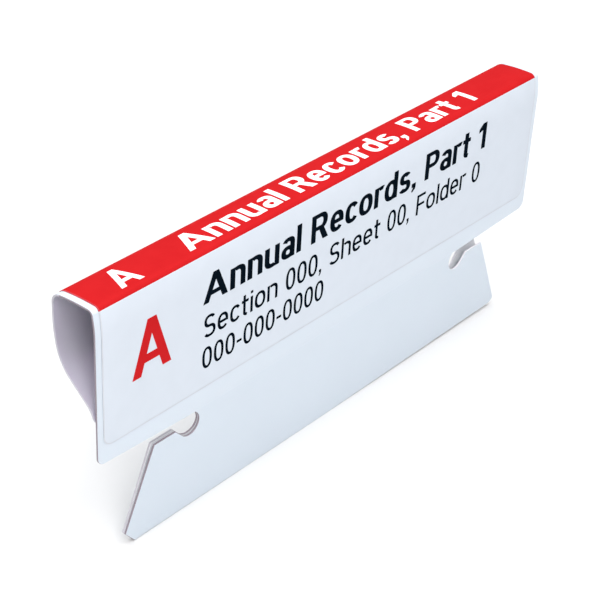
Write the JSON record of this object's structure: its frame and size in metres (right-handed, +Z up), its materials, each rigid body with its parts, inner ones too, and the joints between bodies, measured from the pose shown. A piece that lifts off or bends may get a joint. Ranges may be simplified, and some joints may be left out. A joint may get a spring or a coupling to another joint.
{
  "type": "hanging folder index tab",
  "caption": "Folded plastic index tab for a hanging folder: a hollow ridge with a wrap-around label, over two hooked tongues that go into the folder's slots.",
  "frame": {"origin": "where the tab stands on the folder's top edge: midway along the tab, level with the ends of the front wall's bottom edge, on the rear face of the front layer", "axes": "+X along the tab, -Y towards the reader of the front label, +Z up"},
  "size_m": [0.0888, 0.0077, 0.0386],
  "materials": {
    "sheet": "smooth satin white polypropylene sheet, slightly milky, with die-cut edges",
    "label_white": "smooth coated label paper with a low sheen, printed",
    "label_red": "smooth coated label paper with a low sheen, printed solid red"
  },
  "bodies": {
    "front_panel": {"front_wall": "sheet", "front_tongue": "sheet", "label_front": "label_white"},
    "top_panel": {"top_wall": "sheet", "label_top": "label_red"},
    "rear_flap": {"rear_wall": "sheet", "rear_tongue": "sheet", "label_rear": "label_white"}
  },
  "joints": [
    {"name": "front_fold", "type": "hinge", "parent": "front_panel", "child": "top_panel", "pos_m": [0, 0.00003, 0.02241], "axis": [1, 0, 0], "range_deg": [0, 96]},
    {"name": "rear_fold", "type": "hinge", "parent": "top_panel", "child": "rear_flap", "pos_m": [0, 0.00689, 0.02193], "axis": [1, 0, 0], "range_deg": [0, 84]}
  ]
}
